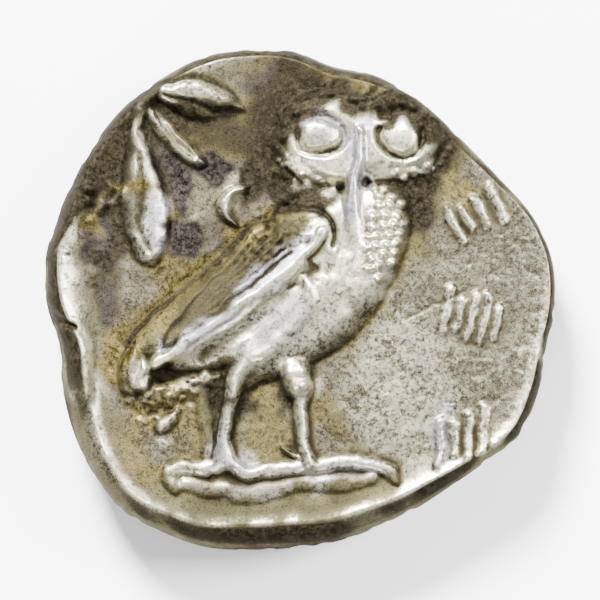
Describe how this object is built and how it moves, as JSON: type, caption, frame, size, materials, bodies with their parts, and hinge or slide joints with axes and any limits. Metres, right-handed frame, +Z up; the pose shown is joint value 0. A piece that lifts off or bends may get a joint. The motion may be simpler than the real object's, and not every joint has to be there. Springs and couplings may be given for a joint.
{
  "type": "tetradrachm coin",
  "caption": "Thick ancient silver coin with an uneven struck edge: an owl with olive leaves on one face, a helmeted head in profile on the other.",
  "frame": {"origin": "middle of the outline's box, on the table under the coin", "axes": "+Z up through the owl side, +Y towards the owl's head, +X towards the side the owl's breast faces"},
  "size_m": [0.0244, 0.024, 0.0055],
  "materials": {
    "silver": "worn old silver with brown and purple-grey toning in the hollows"
  },
  "bodies": {
    "root": {"coin": "silver"}
  },
  "joints": []
}
